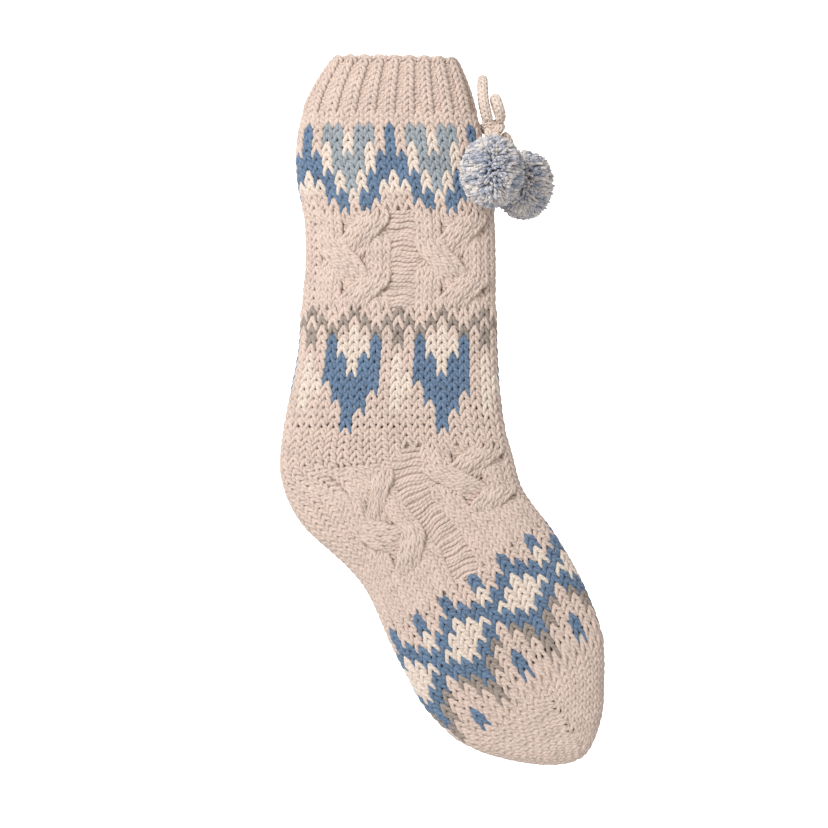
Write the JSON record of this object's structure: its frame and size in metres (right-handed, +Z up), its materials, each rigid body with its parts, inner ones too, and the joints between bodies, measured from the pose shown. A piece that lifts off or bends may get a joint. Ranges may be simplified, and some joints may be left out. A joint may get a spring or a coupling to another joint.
{
  "type": "hanging stocking",
  "caption": "Chunky hand-knit stocking with colour-work bands, cables and a cord bow with pom-poms, hung by the bow's front loop.",
  "frame": {"origin": "underside of the top of the bow's front loop, where a hook or nail bears", "axes": "+Z up, +X from the heel side to the instep side, -Y out of the face that the room sees"},
  "size_m": [0.1822, 0.07, 0.3965],
  "materials": {
    "oatmeal_yarn": "chunky two-ply wool-blend yarn, matt and slightly fuzzy",
    "cream_yarn": "chunky two-ply wool-blend yarn, matt",
    "blue_yarn": "chunky two-ply wool-blend yarn, matt, slightly heathered",
    "pale_blue_yarn": "chunky two-ply wool-blend yarn, matt",
    "grey_yarn": "chunky two-ply wool-blend yarn, matt, heathered",
    "cord_yarn": "round knitted cord of the main yarn",
    "pompom_yarn": "cut yarn ends of cream, pale blue and blue"
  },
  "bodies": {
    "leg": {"cuff_edge": "oatmeal_yarn", "cuff_rib": "oatmeal_yarn", "upper_band": "blue_yarn", "upper_floats": "pale_blue_yarn", "leg_cables": "oatmeal_yarn", "lower_band": "blue_yarn", "lower_floats": "grey_yarn", "heel_cup": "oatmeal_yarn", "ankle_gusset": "oatmeal_yarn", "cord_anchor": "cord_yarn", "bow_knot": "cord_yarn"},
    "foot": {"foot_cables": "oatmeal_yarn", "foot_band": "blue_yarn", "foot_floats": "cream_yarn", "toe_cap": "oatmeal_yarn", "toe_graft": "oatmeal_yarn"},
    "loop_front": {"bow_loop_front": "cord_yarn"},
    "loop_rear": {"bow_loop_rear": "cord_yarn"},
    "tail_front_body": {"tail_front": "cord_yarn"},
    "tail_rear_body": {"tail_rear": "cord_yarn"},
    "pompom_front_body": {"pompom_front": "pompom_yarn", "pompom_front_binding": "cream_yarn"},
    "pompom_rear_body": {"pompom_rear": "pompom_yarn", "pompom_rear_binding": "cream_yarn"}
  },
  "joints": [
    {"name": "ankle_flex", "type": "hinge", "parent": "leg", "child": "foot", "pos_m": [0.0042, 0, -0.2373], "axis": [0, 1, 0], "range_deg": [-12, 12], "stiffness_Nm_per_rad": 0.3, "deforming": ["ankle_gusset"]},
    {"name": "loop_front_flop", "type": "hinge", "parent": "leg", "child": "loop_front", "pos_m": [0.0065, 0, -0.0255], "axis": [1, 0, 0], "range_deg": [-45, 10], "stiffness_Nm_per_rad": 0.002},
    {"name": "loop_rear_flop", "type": "hinge", "parent": "leg", "child": "loop_rear", "pos_m": [0.0065, 0, -0.0255], "axis": [1, 0, 0], "range_deg": [-45, 10], "stiffness_Nm_per_rad": 0.002},
    {"name": "tail_front_lift", "type": "hinge", "parent": "leg", "child": "tail_front_body", "pos_m": [0.0065, 0, -0.0255], "axis": [1, 0, 0], "range_deg": [-50, 0]},
    {"name": "tail_rear_swing", "type": "hinge", "parent": "leg", "child": "tail_rear_body", "pos_m": [0.0065, 0, -0.0255], "axis": [0, 1, 0], "range_deg": [-35, 0]},
    {"name": "pompom_front_turn", "type": "hinge", "parent": "tail_front_body", "child": "pompom_front_body", "pos_m": [0.0045, -0.0265, -0.051], "axis": [0.0862, 0.5675, 0.8189], "range_deg": [-180, 180], "stiffness_Nm_per_rad": 0.0005},
    {"name": "pompom_rear_turn", "type": "hinge", "parent": "tail_rear_body", "child": "pompom_rear_body", "pos_m": [0.0235, 0.007, -0.0548], "axis": [-0.363, -0.1556, 0.9187], "range_deg": [-180, 180], "stiffness_Nm_per_rad": 0.0005}
  ]
}
